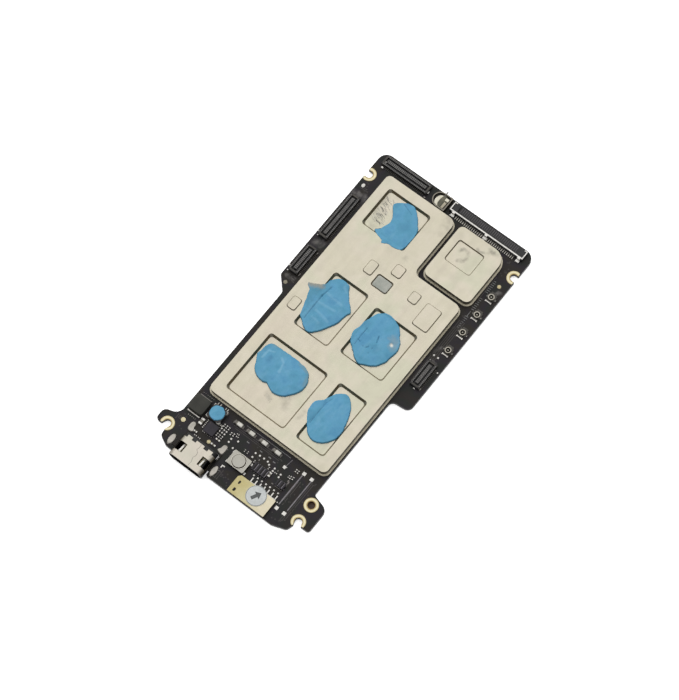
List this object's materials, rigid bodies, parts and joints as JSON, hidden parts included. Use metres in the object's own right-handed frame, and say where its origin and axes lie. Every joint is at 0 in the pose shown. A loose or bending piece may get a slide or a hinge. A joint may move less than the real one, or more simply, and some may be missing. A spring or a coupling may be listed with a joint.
{
  "type": "flight controller board",
  "caption": "Long flat drone flight controller board with clip-on metal shields under thermal putty, edge ports, cable and antenna sockets, open screw notches and a push switch.",
  "frame": {"origin": "on the board's flat underside, at the middle of its waist", "axes": "+Z out of the component side, +Y along the board from the charging port to the cable socket, +X across it to the antenna sockets' side"},
  "size_m": [0.0419, 0.0836, 0.0034],
  "materials": {
    "solder_mask": "satin near-black solder mask over glass-fibre laminate",
    "gold_plating": "pale gold plating",
    "nickel_silver": "warm satin nickel silver sheet",
    "steel": "bright rolled steel",
    "putty": "matte light blue gap filler",
    "black_plastic": "matte black moulding",
    "chip_package": "matte black epoxy",
    "white_plastic": "matte off-white moulding",
    "tinned": "bright tin plating",
    "ceramic": "matte cream ceramic",
    "ferrite": "matte dark ferrite",
    "paper": "matte pale grey paper",
    "filler": "matte grey gap filler"
  },
  "bodies": {
    "board": {"cable_socket_bracket": "tinned", "cable_socket_housing": "black_plastic", "cable_socket_leads": "tinned", "capacitor_1": "tinned", "capacitor_2": "tinned", "capacitor_3": "tinned", "capacitor_4": "tinned", "charger_chip": "chip_package", "circuit_board": "solder_mask", "coax_socket_1": "steel", "coax_socket_2": "steel", "coax_socket_3": "steel", "coax_socket_4": "steel", "coil_inductor": "tinned", "driver_chip": "chip_package", "edge_socket_body": "black_plastic", "edge_socket_cover": "gold_plating", "edge_socket_leads": "tinned", "ground_ring": "gold_plating", "inductor_putty": "putty", "left_long_stacking_connector": "black_plastic", "left_long_stacking_leads": "tinned", "left_short_stacking_connector": "black_plastic", "left_short_stacking_leads": "tinned", "main_shield_frame": "nickel_silver", "memory_chip": "chip_package", "port_contacts": "gold_plating", "port_insulator": "black_plastic", "port_shell": "steel", "position_chip": "chip_package", "power_inductor": "ferrite", "power_manager_chip": "chip_package", "pressure_sensor_core": "ceramic", "pressure_sensor_ring": "steel", "processor_chip": "chip_package", "radio_chip": "chip_package", "right_stacking_connector": "black_plastic", "right_stacking_leads": "tinned", "round_sticker": "paper", "screw_ring_bottom_left": "gold_plating", "screw_ring_bottom_right": "gold_plating", "screw_ring_top_left": "gold_plating", "screw_ring_top_right": "gold_plating", "sensor_chip": "chip_package", "small_shield_frame": "nickel_silver", "switch_base": "black_plastic", "switch_cover": "steel", "switch_dome": "steel", "top_stacking_connector": "black_plastic", "top_stacking_leads": "tinned", "video_chip": "chip_package"},
    "main_lid": {"main_shield_lid": "nickel_silver", "grey_filler_pad": "filler", "thermal_putty_bottom_left": "putty", "thermal_putty_bottom_right": "putty", "thermal_putty_middle_left": "putty", "thermal_putty_middle_right": "putty", "thermal_putty_top": "putty"},
    "small_lid": {"small_shield_lid": "nickel_silver"},
    "button": {"switch_button": "white_plastic"}
  },
  "joints": [
    {"name": "main_lid_lift", "type": "slide", "parent": "board", "child": "main_lid", "axis": [0, 0, 1], "range_m": [0, 0.01]},
    {"name": "small_lid_lift", "type": "slide", "parent": "board", "child": "small_lid", "axis": [0, 0, 1], "range_m": [0, 0.01]},
    {"name": "button_press", "type": "slide", "parent": "board", "child": "button", "axis": [0, 0, 1], "range_m": [-0.0002, 0], "stiffness_N_per_m": 6000}
  ]
}
